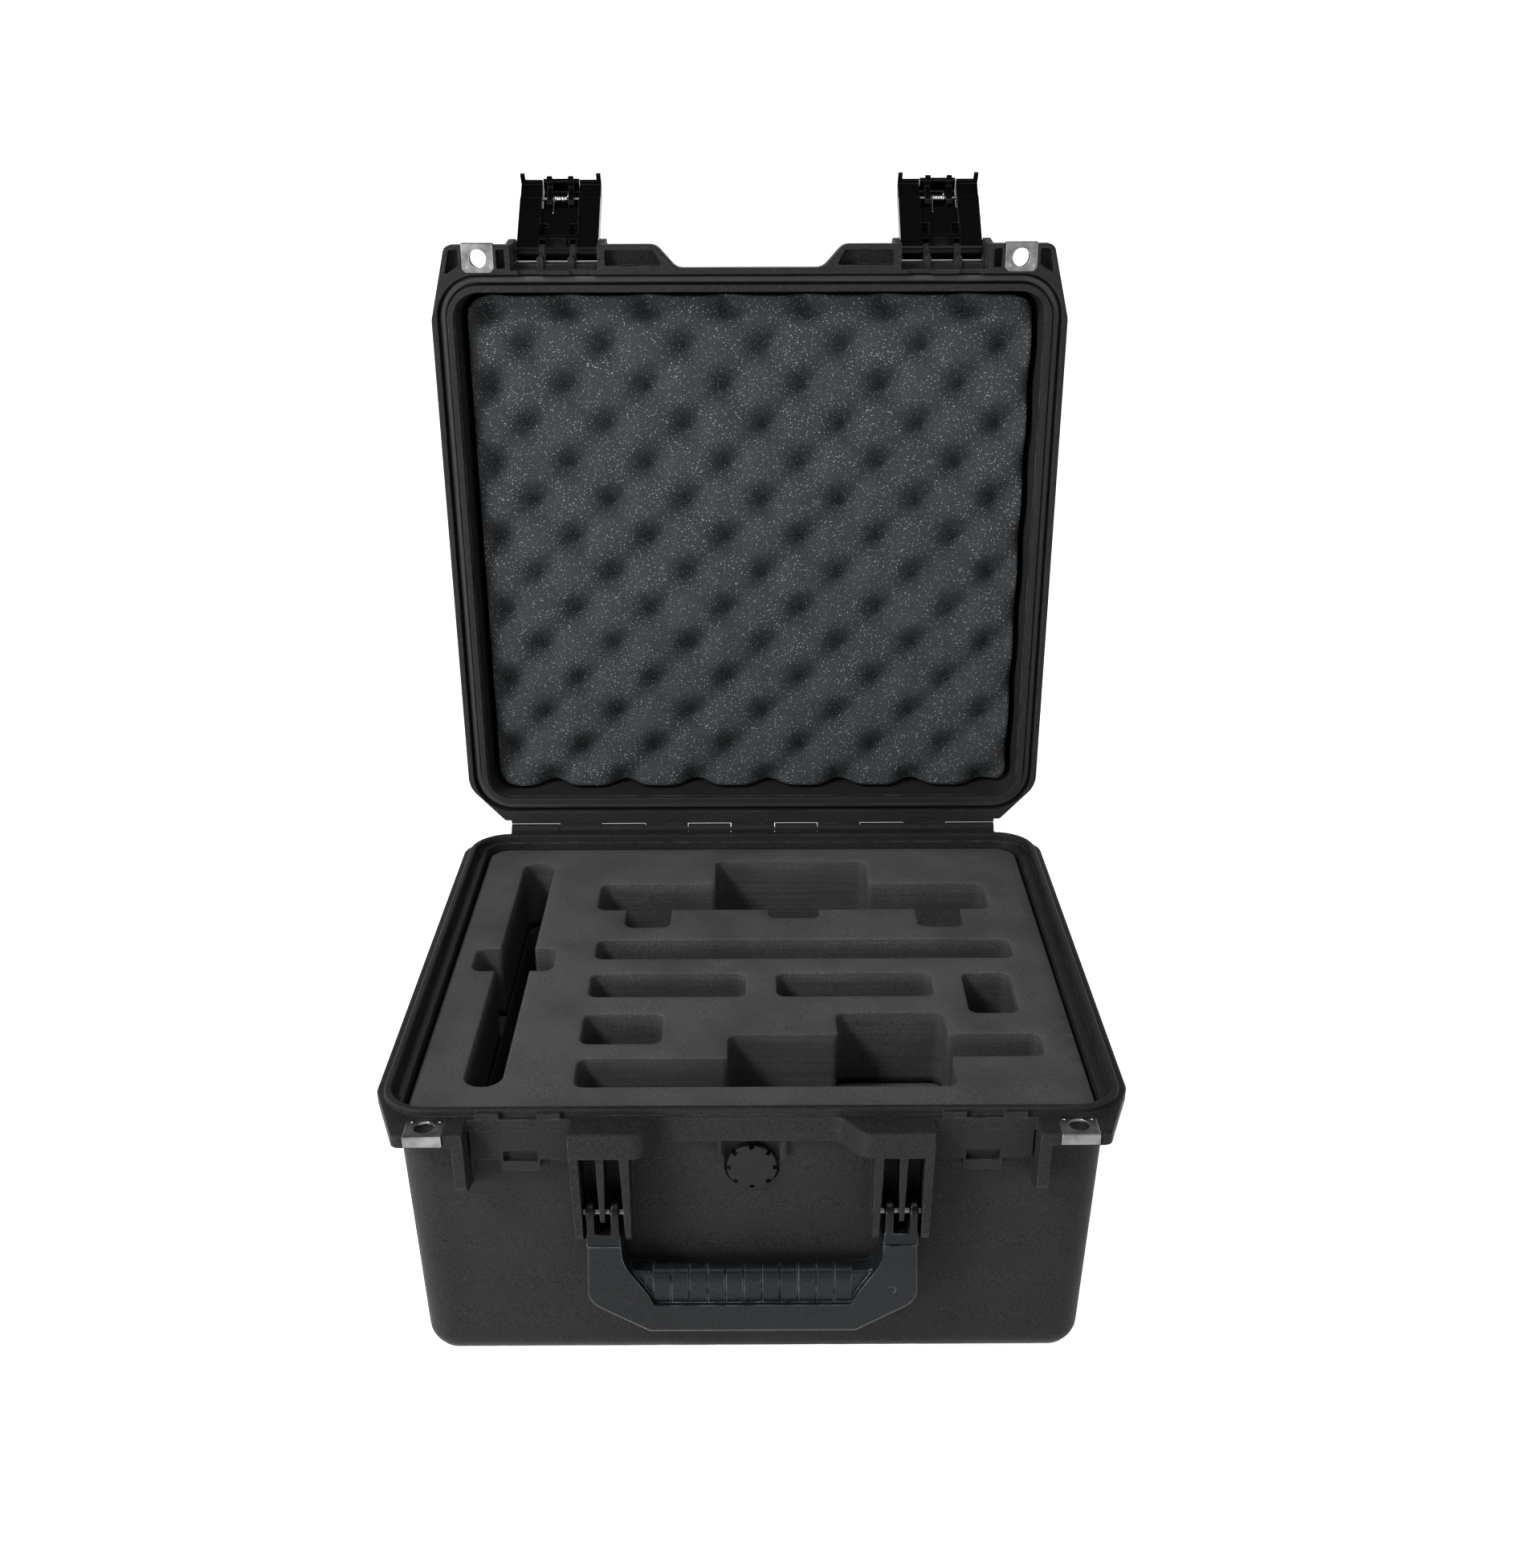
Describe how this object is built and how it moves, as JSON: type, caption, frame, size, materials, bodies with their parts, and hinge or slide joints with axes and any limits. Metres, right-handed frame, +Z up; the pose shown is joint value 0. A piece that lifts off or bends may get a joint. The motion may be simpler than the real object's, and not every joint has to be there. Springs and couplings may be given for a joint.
{
  "type": "carrying case",
  "caption": "Hard moulded carrying case for a small drone, with hinged lid, press latches, swinging handle, egg-crate lid foam and cut base foam.",
  "frame": {"origin": "middle of the flat underside", "axes": "+Z up, -Y is the front with the latches and handle, +X to the right seen from the front"},
  "size_m": [0.41, 0.489, 0.6059],
  "materials": {
    "shell": "matte",
    "latch": "satin",
    "handle": "satin",
    "handle_skin": "satin",
    "steel": "satin",
    "spring_steel": "polished",
    "gasket": "matte",
    "cut_foam": "matte",
    "egg_foam": "matte",
    "valve": "matte",
    "membrane": "matte"
  },
  "bodies": {
    "base": {"base_shell": "shell", "base_foam_top": "cut_foam", "base_foam_middle": "cut_foam", "base_foam_bottom": "cut_foam", "hasp_plate_base_left": "steel", "hasp_plate_base_right": "steel", "valve_body": "valve", "valve_cap": "valve", "valve_oring": "gasket", "valve_membrane": "membrane", "valve_nut": "valve", "handle_pin_left": "steel", "handle_pin_right": "steel", "hinge_pin": "steel"},
    "lid": {"lid_shell": "shell", "lid_gasket": "gasket", "lid_foam": "egg_foam", "hasp_plate_lid_left": "steel", "hasp_plate_lid_right": "steel", "latch_left_pivot_pin": "steel", "latch_right_pivot_pin": "steel"},
    "handle": {"handle_core": "handle", "handle_cover": "handle_skin"},
    "latch_left": {"latch_left_body": "latch", "latch_left_button_pin": "steel", "latch_left_spring": "spring_steel"},
    "button_left": {"latch_left_button": "latch"},
    "latch_right": {"latch_right_body": "latch", "latch_right_button_pin": "steel", "latch_right_spring": "spring_steel"},
    "button_right": {"latch_right_button": "latch"}
  },
  "joints": [
    {"name": "lid_hinge", "type": "hinge", "parent": "base", "child": "lid", "pos_m": [0, 0.197, 0.17], "axis": [1, 0, 0], "range_deg": [0, 91.63]},
    {"name": "handle_swing", "type": "hinge", "parent": "base", "child": "handle", "pos_m": [0, -0.191, 0.114], "axis": [-1, 0, 0], "range_deg": [0, 95]},
    {"name": "latch_left_pivot", "type": "hinge", "parent": "lid", "child": "latch_left", "pos_m": [0, 0.23814, 0.56099], "axis": [1, 0, 0], "range_deg": [0, 140]},
    {"name": "latch_left_button", "type": "hinge", "parent": "latch_left", "child": "button_left", "pos_m": [0, 0.27218, 0.59049], "axis": [-1, 0, 0], "range_deg": [0, 8], "stiffness_Nm_per_rad": 0.4, "springref_deg": -11.46},
    {"name": "latch_right_pivot", "type": "hinge", "parent": "lid", "child": "latch_right", "pos_m": [0, 0.23814, 0.56099], "axis": [1, 0, 0], "range_deg": [0, 140]},
    {"name": "latch_right_button", "type": "hinge", "parent": "latch_right", "child": "button_right", "pos_m": [0, 0.27218, 0.59049], "axis": [-1, 0, 0], "range_deg": [0, 8], "stiffness_Nm_per_rad": 0.4, "springref_deg": -11.46}
  ]
}
